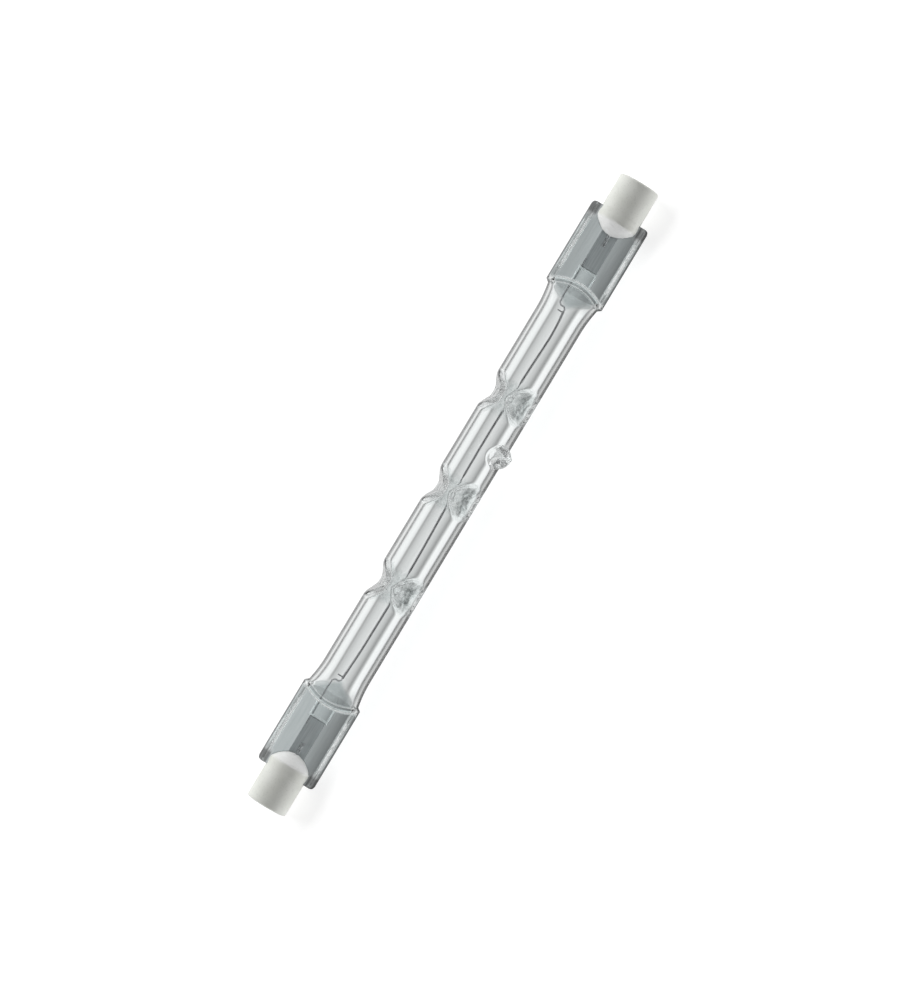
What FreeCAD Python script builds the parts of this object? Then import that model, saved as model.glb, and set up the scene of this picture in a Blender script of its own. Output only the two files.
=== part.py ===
import FreeCAD, Part
import math
import os

import Sketcher

# A double-ended linear halogen bulb, in millimetres. The bulb's axis is X, with the origin at its middle.
# The seals are described with their flat faces square to Z and their width along Y. RestFrame then rolls the
# whole bulb about X until the tube and the rails of both seals touch the same level surface.

SIZES = (
    ("overall_length", 117.6, "from one cap's face to the other's"),
    ("tube_diameter", 8.4, "outside of the quartz tube"),
    ("tube_wall", 1.0, "wall of the tube"),
    ("dimple_pitch", 17.85, "from one constriction to the next"),
    ("dimple_floor", 2.8, "from the axis to the floor of a dimple"),
    ("dimple_flat", 2.2, "length of that floor along the tube"),
    ("dimple_slope", 30.0, "rise of a dimple's end walls, in degrees"),
    ("dimple_wall", 1.05, "wall at the dimples"),
    ("dimple_turn", 38.0, "first dimple from the seal's face, in degrees"),
    ("tip_place", 9.3, "exhaust tip from the middle of the bulb"),
    ("tip_turn", 50.0, "exhaust tip from the seal's face, in degrees"),
    ("tip_lean", 12.0, "lean of the exhaust tip along the tube, in degrees"),
    ("tip_base", 3.8, "diameter of the tip where it leaves the tube"),
    ("tip_end", 1.4, "diameter of the tip's rounded end"),
    ("tip_height", 2.7, "height of the tip above the tube"),
    ("flare_length", 6.9, "from the start of the flare to the seal's crease"),
    ("flare_depth", 6.8, "depth of the flare at the seal's crease"),
    ("crease_radius", 8.6, "curve of the crease, seen square to the seal"),
    ("shoulder_slope", 45.0, "rise of the shoulder above the seal, in degrees"),
    ("seal_length", 12.9, "from the crease to the seal's end"),
    ("seal_overlap", 2.1, "how far the seal reaches into the flare"),
    ("seal_width", 10.5, "across both rails"),
    ("seal_thickness", 2.2, "between the flat faces"),
    ("rail_width", 1.1, "each edge rail"),
    ("rail_thickness", 3.0, "depth of the rails"),
    ("rail_round", 0.35, "rounding of the rails"),
    ("seal_insert", 1.9, "how far the seal enters the cap"),
    ("pocket_width", 3.45, "hollow left round the inner lead in the seal"),
    ("pocket_height", 0.9, "height of that hollow"),
    ("pocket_lap", 0.3, "how far that hollow reaches over the foil"),
    ("foil_width", 2.9, "molybdenum foil"),
    ("foil_length", 8.1, "molybdenum foil"),
    ("foil_thickness", 0.05, "molybdenum foil"),
    ("foil_setback", 2.4, "from the foil's end to the seal's end"),
    ("weld_flat", 0.04, "how much of the inner lead is flattened on the foil"),
    ("inner_lead_diameter", 0.3, "tungsten wire"),
    ("inner_lead_lap", 1.7, "inner lead on the foil"),
    ("inner_lead_offset", 1.3, "inner lead from the axis, where it leaves the foil"),
    ("inner_lead_bend", 0.35, "corner cut off at each bend of the inner lead"),
    ("hook_gap", 0.25, "from the coil's end to the lead's hook"),
    ("coil_wire", 0.1, "wall of the coil, one turn of wire"),
    ("coil_setback", 5.1, "from the crease back to the coil's end"),
    ("coil_grip", 1.2, "how far the lead goes into the coil"),
    ("outer_lead_diameter", 0.7, "molybdenum wire"),
    ("outer_lead_lap", 3.4, "outer lead on the foil"),
    ("cap_diameter", 7.1, "ceramic cap"),
    ("cap_length", 7.9, "ceramic cap"),
    ("cap_edge_round", 0.35, "rounding of the cap's outer edge"),
    ("neck_step", 0.35, "step from the cap down to its cemented neck"),
    ("slot_clearance", 0.15, "cement gap round the seal in the cap"),
    ("recess_diameter", 3.4, "recess in the cap's face"),
    ("recess_depth", 1.7, "from the cap's face to the contact"),
    ("contact_diameter", 2.9, "head of the contact"),
    ("contact_head", 0.8, "thickness of that head"),
    ("contact_clearance", 0.05, "contact in the cap"),
    ("stem_diameter", 1.5, "stem of the contact"),
    ("stem_length", 1.2, "stem of the contact"),
    ("lead_seat", 1.5, "depth of the outer lead in the contact"),
    ("cement_reach", 2.1, "cement in front of the cap"),
    ("cement_nose", 1.8, "blunt front of the cement"),
    ("cement_collar", 1.6, "cement round the cap's neck"),
    ("cement_proud", 0.25, "cement bead beyond the cap's side"),
)

DIMPLES_ROUND = 3
STATIONS = (-1, 0, 1)
FLARE_EASE = 0.25  # share of the flare's widening in its first half
PAST = 1.0
FULL_TURN = 360

doc = FreeCAD.newDocument("LinearHalogenBulb")
sheet = doc.addObject("Spreadsheet::Sheet", "Sizes")
for row, (alias, value, meaning) in enumerate(SIZES, start=1):
    sheet.set(f"A{row}", meaning)
    sheet.set(f"B{row}", str(value))
    sheet.setAlias(f"B{row}", alias)
doc.recompute()

# Stations along the axis, from the middle towards the right-hand end.
CAP_FACE = "(Sizes.overall_length / 2)"
CAP_INNER = f"({CAP_FACE} - Sizes.cap_length)"
SEAL_END = f"({CAP_INNER} + Sizes.seal_insert)"
SLOT_FLOOR = f"({SEAL_END} + Sizes.slot_clearance)"
CREASE = f"({SEAL_END} - Sizes.seal_length)"
SEAL_START = f"({CREASE} - Sizes.seal_overlap)"
FLARE_START = f"({CREASE} - Sizes.flare_length)"
FLARE_MIDDLE = f"({CREASE} - Sizes.flare_length / 2)"
FOIL_END = f"({SEAL_END} - Sizes.foil_setback)"
FOIL_START = f"({FOIL_END} - Sizes.foil_length)"
POCKET_END = f"({FOIL_START} + Sizes.pocket_lap)"
CONTACT_FACE = f"({CAP_FACE} - Sizes.recess_depth)"
CONTACT_SEAT = f"({CONTACT_FACE} - Sizes.contact_head)"
STEM_END = f"({CONTACT_SEAT} - Sizes.stem_length)"
OUTER_LEAD_START = f"({FOIL_END} - Sizes.outer_lead_lap)"
OUTER_LEAD_END = f"({STEM_END} + Sizes.lead_seat)"
COIL_END = f"({CREASE} - Sizes.coil_setback)"

# Radii and half sizes.
TUBE_RADIUS = "(Sizes.tube_diameter / 2)"
BORE_RADIUS = f"({TUBE_RADIUS} - Sizes.tube_wall)"
SEAL_HALF = "(Sizes.seal_width / 2)"
WEB_HALF = "(Sizes.seal_thickness / 2)"
CAP_RADIUS = "(Sizes.cap_diameter / 2)"
NECK_RADIUS = f"({CAP_RADIUS} - Sizes.neck_step)"
BEAD_RADIUS = f"({CAP_RADIUS} + Sizes.cement_proud)"
INNER_LEAD_RADIUS = "(Sizes.inner_lead_diameter / 2)"
OUTER_LEAD_RADIUS = "(Sizes.outer_lead_diameter / 2)"
FOIL_TOP = f"(Sizes.weld_flat - {INNER_LEAD_RADIUS})"

ALONG_X = "rotation(vector(0; 1; 0); 90)"
WIDE_ALONG_Y = f"{ALONG_X} * rotation(vector(0; 0; 1); 90)"
UNTURNED = "rotation(vector(1; 0; 0); 0)"


def measure(formula):
    """The number that a formula of the sheet gives."""
    return float(sheet.evalExpression(formula))


def add(kind, name, **formulas):
    """A document object whose sizes follow formulas of the sheet."""
    thing = doc.addObject(kind, name)
    for size, formula in formulas.items():
        thing.setExpression(size, formula)
    return thing


def place(thing, x="0", y="0", z="0", turn=UNTURNED):
    """Puts a thing into the bulb, in the frame that rolls it to rest."""
    local = f"placement(vector({x}; {y}; {z}); {turn})"
    thing.setExpression("Placement", f"RestFrame.Placement * {local}")
    return thing


def rod(name, radius, start, end):
    """A round bar on the bulb's axis."""
    bar = add("Part::Cylinder", name, Radius=radius, Height=f"{end} - ({start})")
    return place(bar, x=start, turn=ALONG_X)


def block(name, start, end, width, low, high):
    """A block on the bulb's axis, between two heights above the seal's middle plane."""
    solid = add("Part::Box", name, Length=f"{end} - ({start})", Width=width, Height=f"{high} - ({low})")
    return place(solid, x=start, y=f"-({width}) / 2", z=low)


def fuse(name, *things):
    """One solid out of several."""
    joined = doc.addObject("Part::MultiFuse", name)
    joined.Shapes = list(things)
    return joined


def cut(name, base, *tools):
    """A thing less one or more tools."""
    tool = tools[0] if len(tools) == 1 else fuse(f"{name}Tools", *tools)
    rest = doc.addObject("Part::Cut", name)
    rest.Base = base
    rest.Tool = tool
    return rest


def common(name, one, other):
    """What two things share."""
    shared = doc.addObject("Part::Common", name)
    shared.Base = one
    shared.Tool = other
    return shared


def mirror(name, source):
    """The same thing at the left-hand end."""
    copy = doc.addObject("Part::Mirroring", name)
    copy.Source = source
    copy.Base = FreeCAD.Vector(0, 0, 0)
    copy.Normal = FreeCAD.Vector(1, 0, 0)
    return copy


def sketch_on(body, role, name):
    """A sketch on one of a body's own origin planes."""
    sketch = body.newObject("Sketcher::SketchObject", name)
    plane = next(p for p in body.Origin.OriginFeatures if p.Role == role)
    sketch.AttachmentSupport = (plane, [""])
    sketch.MapMode = "FlatFace"
    return sketch


def pin_point(sketch, line, end, x, y):
    """Ties one end of a line to two formulas of the sheet."""
    for kind, formula, axis in (("DistanceX", x, -2), ("DistanceY", y, -1)):
        value = measure(formula)
        if value == 0:
            sketch.addConstraint(Sketcher.Constraint("PointOnObject", line, end, axis))
            continue
        index = sketch.addConstraint(Sketcher.Constraint(kind, -1, 1, line, end, value))
        sketch.setExpression(f"Constraints[{index}]", formula)


def polyline(sketch, corners):
    """A run of straight lines, each corner tied to the sheet."""
    points = [FreeCAD.Vector(measure(x), measure(y), 0) for x, y in corners]
    for i, (start, end) in enumerate(zip(points, points[1:])):
        sketch.addGeometry(Part.LineSegment(start, end))
        pin_point(sketch, i, 1, *corners[i])
        if i > 0:
            sketch.addConstraint(Sketcher.Constraint("Coincident", i - 1, 2, i, 1))
    return len(points) - 2


def outline(sketch, corners):
    """A closed outline of straight lines."""
    last = polyline(sketch, [*corners, corners[0]])
    sketch.addConstraint(Sketcher.Constraint("Coincident", last, 2, 0, 1))


def path(sketch, corners):
    """An open path of straight lines."""
    last = polyline(sketch, corners)
    pin_point(sketch, last, 2, *corners[-1])


def turned_body(name, corners):
    """A body turned about the bulb's axis from an outline of stations and radii."""
    body = place(doc.addObject("PartDesign::Body", name))
    profile = sketch_on(body, "XY_Plane", f"{name}Profile")
    outline(profile, corners)
    turning = body.newObject("PartDesign::Revolution", f"{name}Turning")
    turning.Profile = profile
    turning.ReferenceAxis = (profile, ["H_Axis"])
    turning.Angle = FULL_TURN
    doc.recompute()
    return body


def edges_where(shape, test):
    """Names of the edges that pass a test."""
    return [f"Edge{i}" for i, edge in enumerate(shape.Edges, start=1) if test(edge)]


def round_edges(body, name, radius, test):
    """Rounds those edges of a body that pass a test."""
    base = body.Tip
    rounding = body.newObject("PartDesign::Fillet", name)
    rounding.Base = (base, edges_where(base.Shape, test))
    rounding.setExpression("Radius", radius)
    doc.recompute()
    return body


def make_rest_frame():
    """Rolls the bulb until the tube and the lower rails stand on one level surface."""
    across = f"({SEAL_HALF} - Sizes.rail_round)"
    up = "(Sizes.rail_thickness / 2 - Sizes.rail_round)"
    drop = f"({TUBE_RADIUS} - Sizes.rail_round)"
    roll = f"asin(min(1; {drop} / hypot({across}; {up}))) - atan2({up}; {across})"
    frame = doc.addObject("App::Placement", "RestFrame")
    frame.setExpression("Placement", f"placement(vector(0; 0; 0); rotation(vector(1; 0; 0); {roll}))")
    doc.recompute()


def rail_section(name, start, end, grow):
    """The seal's section, a web between two rails, run along the axis and grown on every side."""
    outer = f"{SEAL_HALF} + {grow}"
    inner = f"{SEAL_HALF} - Sizes.rail_width - {grow}"
    deep = f"Sizes.rail_thickness / 2 + {grow}"
    web = f"{WEB_HALF} + {grow}"
    quarter = ((inner, web), (inner, deep), (outer, deep))
    corners = [(y, z) for y, z in quarter]
    corners += [(y, f"-({z})") for y, z in reversed(quarter)]
    corners += [(f"-({y})", f"-({z})") for y, z in quarter]
    corners += [(f"-({y})", z) for y, z in reversed(quarter)]
    body = place(doc.addObject("PartDesign::Body", name), x=start)
    section = sketch_on(body, "YZ_Plane", f"{name}Section")
    outline(section, corners)
    pad = body.newObject("PartDesign::Pad", f"{name}Pad")
    pad.Profile = section
    pad.setExpression("Length", f"{end} - ({start})")
    doc.recompute()
    return body


def is_rail_edge(edge):
    """Whether an edge runs along a rail at the rail's full depth."""
    first, last = edge.Vertexes[0].Point, edge.Vertexes[-1].Point
    along = math.isclose(first.y, last.y) and math.isclose(first.z, last.z)
    return along and math.isclose(abs(first.z), measure("Sizes.rail_thickness / 2"), abs_tol=1e-6)


def make_seal():
    """The flat pinched end of the tube, with its thick rounded rails."""
    seal = rail_section("Seal", SEAL_START, SEAL_END, "0")
    return round_edges(seal, "SealRounding", "Sizes.rail_round", is_rail_edge)


def flare(name, radius, shrink):
    """The stretch where the tube widens towards the seal, cut off by the shoulder above and below."""
    half_width = f"({SEAL_HALF} - {shrink})"
    half_depth = f"(Sizes.flare_depth / 2 - {shrink})"
    sections = [place(add("Part::Circle", f"{name}Ring", Radius=radius), x=FLARE_START, turn=WIDE_ALONG_Y)]
    for station, share in ((FLARE_MIDDLE, FLARE_EASE), (CREASE, 1)):
        wide = f"{radius} + {share} * ({half_width} - {radius})"
        deep = f"{radius} + {share} * ({half_depth} - {radius})"
        oval = add("Part::Ellipse", f"{name}Oval{len(sections)}", MajorRadius=wide, MinorRadius=deep)
        sections.append(place(oval, x=station, turn=WIDE_ALONG_Y))
    loft = doc.addObject("Part::Loft", f"{name}Loft")
    loft.Sections = sections
    loft.Solid = True
    loft.Ruled = True
    foot = f"Sizes.crease_radius + {WEB_HALF} / tan(Sizes.shoulder_slope)"
    foot = f"{foot} - {shrink} / sin(Sizes.shoulder_slope)"
    head = f"{foot} - {TUBE_RADIUS} / tan(Sizes.shoulder_slope)"
    cones = []
    for side, flip in (("Upper", 0), ("Lower", 180)):
        cone = add("Part::Cone", f"{name}{side}Cone", Radius1=foot, Radius2=head, Height=TUBE_RADIUS)
        middle = f"{CREASE} - Sizes.crease_radius"
        cones.append(place(cone, x=middle, turn=f"rotation(vector(1; 0; 0); {flip})"))
    return common(f"{name}Shoulder", loft, fuse(f"{name}Cones", *cones))


def dimple_jaws(name, floor, flat_half):
    """The jaws that press one set of dimples: a flat floor between two sloping end walls."""
    top = f"{TUBE_RADIUS} + {PAST}"
    top_half = f"{flat_half} + ({top} - ({floor})) / tan(Sizes.dimple_slope)"
    side = f"{TUBE_RADIUS} + {PAST}"
    jaws = []
    for station in STATIONS:
        for count in range(DIMPLES_ROUND):
            jaw = add("Part::Wedge", f"{name}{len(jaws)}", Ymin=floor, Ymax=top)
            for low, high, half in (("Xmin", "Xmax", flat_half), ("X2min", "X2max", top_half)):
                jaw.setExpression(low, f"-({half})")
                jaw.setExpression(high, half)
            for low, high in (("Zmin", "Zmax"), ("Z2min", "Z2max")):
                jaw.setExpression(low, f"-({side})")
                jaw.setExpression(high, side)
            angle = f"90 + Sizes.dimple_turn + {count * FULL_TURN / DIMPLES_ROUND}"
            turn = f"rotation(vector(1; 0; 0); {angle})"
            jaws.append(place(jaw, x=f"{station} * Sizes.dimple_pitch", turn=turn))
    return jaws


def make_tip():
    """The nub left where the exhaust tube was melted off."""
    foot = f"({TUBE_RADIUS} - Sizes.tube_wall / 2)"
    rise = "(Sizes.tip_height + Sizes.tube_wall / 2 - Sizes.tip_end / 2)"
    turn = "rotation(vector(1; 0; 0); Sizes.tip_turn) * rotation(vector(0; 1; 0); Sizes.tip_lean)"
    y = f"-{foot} * sin(Sizes.tip_turn)"
    z = f"{foot} * cos(Sizes.tip_turn)"
    cone = add("Part::Cone", "TipCone", Radius1="Sizes.tip_base / 2", Radius2="Sizes.tip_end / 2", Height=rise)
    place(cone, x="Sizes.tip_place", y=y, z=z, turn=turn)
    bead = add("Part::Sphere", "TipBead", Radius="Sizes.tip_end / 2")
    at_end = f"placement(vector(0; 0; {rise}); {UNTURNED})"
    bead.setExpression("Placement", f"TipCone.Placement * {at_end}")
    return fuse("Tip", cone, bead)


def make_envelope(seated):
    """The quartz bulb: tube, dimples, exhaust tip and both seals, pressed round what is sealed into it."""
    tube = rod("Tube", TUBE_RADIUS, f"-{FLARE_START}", FLARE_START)
    dimpled = cut("DimpledTube", tube, *dimple_jaws("Dimple", "Sizes.dimple_floor", "Sizes.dimple_flat / 2"))
    end = fuse("End", flare("Flare", TUBE_RADIUS, "0"), make_seal())
    outside = fuse("Outside", dimpled, make_tip(), end, mirror("LeftEnd", end))

    bore = rod("Bore", BORE_RADIUS, f"-{FLARE_START}", FLARE_START)
    inner_floor = "Sizes.dimple_floor - Sizes.dimple_wall"
    inner_half = "Sizes.dimple_flat / 2 + Sizes.dimple_wall * tan(Sizes.dimple_slope / 2)"
    dimpled_bore = cut("DimpledBore", bore, *dimple_jaws("InnerDimple", inner_floor, inner_half))
    pocket_half = "Sizes.pocket_height / 2"
    pocket = block("Pocket", SEAL_START, POCKET_END, "Sizes.pocket_width", f"-{pocket_half}", pocket_half)
    end_space = fuse("EndSpace", flare("InnerFlare", BORE_RADIUS, "Sizes.tube_wall"), pocket)
    inside = fuse("Inside", dimpled_bore, end_space, mirror("LeftEndSpace", end_space))

    hollow = cut("HollowBulb", outside, inside)
    return cut("Envelope", hollow, *seated)


def make_foil():
    """The thin molybdenum strip that carries the current through the seal."""
    return block("Foil", FOIL_START, FOIL_END, "Sizes.foil_width", f"{FOIL_TOP} - Sizes.foil_thickness", FOIL_TOP)


def make_inner_lead(seat):
    """The wire from the foil to the coil: it runs straight in beside the axis and hooks across into the coil."""
    start = f"({FOIL_START} + Sizes.inner_lead_lap)"
    hook = f"({COIL_END} + Sizes.hook_gap + Sizes.inner_lead_bend)"
    tail = f"({COIL_END} - Sizes.coil_grip)"
    aside = "Sizes.inner_lead_offset"
    bend = "Sizes.inner_lead_bend"
    body = place(doc.addObject("PartDesign::Body", "InnerLeadWire"))
    run = sketch_on(body, "XY_Plane", "InnerLeadRun")
    path(run, (
        (start, aside),
        (f"{hook} + {bend}", aside),
        (hook, f"{aside} - {bend}"),
        (hook, bend),
        (f"{hook} - {bend}", "0"),
        (tail, "0"),
    ))
    section = sketch_on(body, "YZ_Plane", "InnerLeadSection")
    section.setExpression("AttachmentOffset.Base.z", start)
    middle = FreeCAD.Vector(measure(aside), 0, 0)
    section.addGeometry(Part.Circle(middle, FreeCAD.Vector(0, 0, 1), measure(INNER_LEAD_RADIUS)))
    section.addConstraint(Sketcher.Constraint("PointOnObject", 0, 3, -1))
    offset = section.addConstraint(Sketcher.Constraint("DistanceX", -1, 1, 0, 3, measure(aside)))
    section.setExpression(f"Constraints[{offset}]", aside)
    radius = section.addConstraint(Sketcher.Constraint("Radius", 0, measure(INNER_LEAD_RADIUS)))
    section.setExpression(f"Constraints[{radius}]", INNER_LEAD_RADIUS)
    doc.recompute()
    wire = body.newObject("PartDesign::AdditivePipe", "InnerLeadSweep")
    wire.Profile = section
    wire.Spine = (run, [])
    wire.Transition = "Right corner"
    doc.recompute()
    return cut("InnerLead", body, seat)


def make_outer_lead(seat):
    """The wire from the foil to the contact, flattened where it is welded on the foil."""
    return cut("OuterLead", rod("OuterLeadWire", OUTER_LEAD_RADIUS, OUTER_LEAD_START, OUTER_LEAD_END), seat)


def is_cap_rim(edge):
    """Whether an edge is the outer rim of the cap's face."""
    middle = edge.BoundBox.Center.x
    on_face = math.isclose(middle, measure(CAP_FACE), abs_tol=1e-6)
    return on_face and math.isclose(edge.BoundBox.YLength, measure("Sizes.cap_diameter"), rel_tol=1e-6)


def make_cap():
    """The ceramic cap: a recess for the holder's contact, a stepped hole and a slot that takes the seal."""
    hole = "Sizes.stem_diameter / 2 + Sizes.contact_clearance"
    counterbore = "Sizes.contact_diameter / 2 + Sizes.contact_clearance"
    recess = "Sizes.recess_diameter / 2"
    corners = (
        (CAP_INNER, hole),
        (CAP_INNER, NECK_RADIUS),
        (SLOT_FLOOR, NECK_RADIUS),
        (SLOT_FLOOR, CAP_RADIUS),
        (CAP_FACE, CAP_RADIUS),
        (CAP_FACE, recess),
        (CONTACT_FACE, recess),
        (CONTACT_FACE, counterbore),
        (CONTACT_SEAT, counterbore),
        (CONTACT_SEAT, hole),
    )
    body = round_edges(turned_body("CapBody", corners), "CapRounding", "Sizes.cap_edge_round", is_cap_rim)
    slot = rail_section("Slot", f"{CAP_INNER} - {PAST}", SLOT_FLOOR, "Sizes.slot_clearance")
    return cut("Cap", body, slot)


def make_contact():
    """The contact button: a flat head on a stem, with the outer lead welded into it."""
    head = "Sizes.contact_diameter / 2"
    stem = "Sizes.stem_diameter / 2"
    corners = (
        (STEM_END, OUTER_LEAD_RADIUS),
        (STEM_END, stem),
        (CONTACT_SEAT, stem),
        (CONTACT_SEAT, head),
        (CONTACT_FACE, head),
        (CONTACT_FACE, "0"),
        (OUTER_LEAD_END, "0"),
        (OUTER_LEAD_END, OUTER_LEAD_RADIUS),
    )
    return turned_body("Contact", corners)


def make_cement(*neighbours):
    """The cement: a blunt cone in front of the cap, a collar round its neck, and what fills the slot."""
    nose = "Sizes.cement_nose / 2"
    cone = add("Part::Cone", "BeadNose", Radius1=nose, Radius2=BEAD_RADIUS, Height="Sizes.cement_reach")
    place(cone, x=f"{CAP_INNER} - Sizes.cement_reach", turn=ALONG_X)
    collar = rod("BeadCollar", BEAD_RADIUS, CAP_INNER, f"{CAP_INNER} + Sizes.cement_collar")
    filling = rod("SlotFilling", NECK_RADIUS, CAP_INNER, SLOT_FLOOR)
    return cut("Cement", fuse("WetCement", cone, collar, filling), *neighbours)


def make_filament():
    """The coil, as the sleeve that its turns fill, slipped over the tails of both inner leads."""
    outer = rod("CoilOutside", f"{INNER_LEAD_RADIUS} + Sizes.coil_wire", f"-{COIL_END}", COIL_END)
    core = rod("CoilCore", INNER_LEAD_RADIUS, f"-{COIL_END} - {PAST}", f"{COIL_END} + {PAST}")
    return cut("Coil", outer, core)


def build():
    """Makes every piece and returns them by the names of their files."""
    make_rest_frame()
    foil = make_foil()
    below_foil = block("WeldSeat", FOIL_START, FOIL_END, "Sizes.foil_width", f"-{TUBE_RADIUS}", FOIL_TOP)
    inner_lead = make_inner_lead(below_foil)
    outer_lead = make_outer_lead(below_foil)
    right = {"foil": foil, "inner_lead": inner_lead, "outer_lead": outer_lead}
    left = {name: mirror(f"{piece.Name}Left", piece) for name, piece in right.items()}
    envelope = make_envelope([*right.values(), *left.values()])
    right["ceramic_cap"] = make_cap()
    right["contact"] = make_contact()
    right["cement"] = make_cement(right["ceramic_cap"], envelope, foil, outer_lead)
    for name in ("ceramic_cap", "contact", "cement"):
        left[name] = mirror(f"{right[name].Name}Left", right[name])
    pieces = {"quartz_envelope": envelope, "filament": make_filament()}
    pieces.update({f"{name}_right": piece for name, piece in right.items()})
    pieces.update({f"{name}_left": piece for name, piece in left.items()})
    for name, piece in pieces.items():
        piece.Label = name
    doc.recompute()
    return pieces


def check(pieces):
    """Stops if an object failed or a piece is not one sound solid."""
    failed = [thing.Name for thing in doc.Objects if {"Invalid", "Error"} & set(thing.State)]
    if failed:
        raise RuntimeError(f"objects failed: {failed}")
    for name, piece in pieces.items():
        shape = piece.Shape
        if shape.isNull() or not shape.isValid() or len(shape.Solids) != 1:
            raise RuntimeError(f"{name} is not one valid solid")


def write(pieces):
    """Writes each piece to its own file."""
    os.makedirs("parts", exist_ok=True)
    for name, piece in pieces.items():
        piece.Shape.exportStep(os.path.join("parts", f"{name}.step"))


bulb = build()
check(bulb)
write(bulb)
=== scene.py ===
import math
from collections import namedtuple
from functools import reduce

import bpy
import numpy as np
from mathutils import Matrix, Vector


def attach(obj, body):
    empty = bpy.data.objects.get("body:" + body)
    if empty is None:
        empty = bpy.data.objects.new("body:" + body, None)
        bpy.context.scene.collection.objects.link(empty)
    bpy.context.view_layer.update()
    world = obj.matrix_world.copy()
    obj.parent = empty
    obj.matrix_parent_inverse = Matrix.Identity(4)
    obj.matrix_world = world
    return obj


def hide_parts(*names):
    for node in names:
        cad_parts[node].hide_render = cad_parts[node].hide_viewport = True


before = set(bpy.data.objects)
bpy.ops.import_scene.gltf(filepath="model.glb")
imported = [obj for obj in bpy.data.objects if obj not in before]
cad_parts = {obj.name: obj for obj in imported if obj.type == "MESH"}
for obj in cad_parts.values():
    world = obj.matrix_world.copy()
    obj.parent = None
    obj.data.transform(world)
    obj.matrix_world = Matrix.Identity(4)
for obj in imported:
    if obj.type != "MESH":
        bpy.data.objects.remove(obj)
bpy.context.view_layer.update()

# Sizes in millimetres, as in the solids. The bulb's axis is X. Sections are drawn in the seal's own frame,
# with Z square to the seal's flat face, and then rolled about X into the frame's rest position.
MM = 0.001
TUBE_R, BORE_R = 4.2, 3.3
FLARE_START, CREASE, CREASE_R, FLARE_DEPTH = 33.0, 39.9, 8.6, 3.4
SEAL_START, SEAL_END, SEAL_HALF = 37.8, 52.8, 5.25
WEB_HALF, RAIL_HALF, RAIL_IN, RAIL_ROUND = 1.1, 1.5, 4.15, 0.5
RAIL_CORNER, END_ROUND = 0.35, 0.8
POCKET_END, POCKET_HALF, POCKET_RISE = 42.6, 1.725, 0.45
TIP_AT, TIP_TURN, TIP_LEAN = 9.3, math.radians(140), math.radians(12)
COIL_END, WIRE_R, COIL_R, COIL_PITCH = 34.8, 0.055, 0.18, 0.2
BEAD_LIMIT = 3.79
SHOULDER_SOFT, SEAL_SOFT, HOLLOW_SOFT, POCKET_SOFT = 0.35, 0.45, 0.3, 0.12
ENDS = ((1, "right"), (-1, "left"))

# The bulb lies on its tube and on the corners of two rails, which rolls the seals out of level
FLOOR_Z = -TUBE_R
CORNER_Y, CORNER_Z = SEAL_HALF - RAIL_CORNER, RAIL_HALF - RAIL_CORNER
ROLL = math.asin((TUBE_R - RAIL_CORNER) / math.hypot(CORNER_Y, CORNER_Z)) - math.atan2(CORNER_Z, CORNER_Y)
ACROSS = (0, math.cos(ROLL), math.sin(ROLL))
FRONT = (0, -math.sin(ROLL), math.cos(ROLL))

# Each constriction has three dimples. A dimple has a turn about the axis, a flat floor with its height, half
# its length and how that changes from side to side, and the slope of its ends.
Dimple = namedtuple("Dimple", "turn floor half_flat splay slope")
DIMPLE_AT = (-17.85, 0.0, 17.85)
DIMPLES = (Dimple(math.radians(8), 2.8, 0.8, 0.0, 0.66),
           Dimple(math.radians(128), 3.06, 0.45, 0.55, 0.5),
           Dimple(math.radians(248), 2.95, 0.7, -0.6, 0.5))
DIMPLE_REACH, DIMPLE_SIDE, SPLAY_SIDE, UPPER_ROUND = 4.2, 1.3, 0.8, 0.3
BORE_LONGER, RISE_ROUND, RISE_SHIFT = 0.27, 0.03, 0.01
MARKS_LONG, MARKS_SIDE, MARKS_BORE_SEED = 2.1, 0.75, 40


def rolled(points):
    """Points of the seal's frame, in millimetres, as points of the part's frame, in metres."""
    x, y, z = np.asarray(points, dtype=float).T
    c, s = math.cos(ROLL), math.sin(ROLL)
    return np.column_stack((x, y * c - z * s, y * s + z * c)) * MM


def soft_min(a, b, width):
    """The lesser of two, rounded where they meet."""
    h = np.maximum(width - np.abs(a - b), 0) / width
    return np.minimum(a, b) - h * h * width / 4


def soft_max(a, b, width):
    """The greater of two, rounded where they meet."""
    return -soft_min(-a, -b, width)


def ease(low, high, x):
    """0 below low, 1 above high, smooth between."""
    t = np.clip((x - low) / (high - low), 0, 1)
    return t * t * (3 - 2 * t)


def ring_faces(first, second, count, order=1):
    """Faces between two rings of points, given by each ring's first point."""
    pairs = ((j, (j + 1) % count) for j in range(count))
    return [(first + j, first + k, second + k, second + j)[::order] for j, k in pairs]


def linked_mesh(name, points, faces):
    """A mesh object in the scene."""
    mesh = bpy.data.meshes.new(name)
    mesh.from_pydata([tuple(p) for p in points], [], faces)
    piece = bpy.data.objects.new(name, mesh)
    bpy.context.scene.collection.objects.link(piece)
    return piece


def shade_smooth(mesh):
    """Smooth shading on every face."""
    mesh.polygons.foreach_set("use_smooth", [True] * len(mesh.polygons))


def smooth_piece(name, points, faces):
    """A smooth piece of the bulb, from points in metres."""
    piece = linked_mesh(name, points, faces)
    shade_smooth(piece.data)
    piece.data.validate()
    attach(piece, "root")
    return piece


# The quartz envelope
def press_marks(x, across, seed):
    """The small uneven facets that pressing leaves in soft glass, from about -1 to 1."""
    rng = np.random.default_rng(seed)
    waves = 6
    total = np.zeros_like(across)
    for _ in range(waves):
        turn = rng.uniform(0, math.pi)
        length = rng.uniform(0.7, 1.9)
        start = rng.uniform(0, 2 * math.pi)
        along = x * math.cos(turn) + across * math.sin(turn)
        total += length * np.arcsin(np.sin(along * 2 * math.pi / length + start))
    return total / waves


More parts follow.
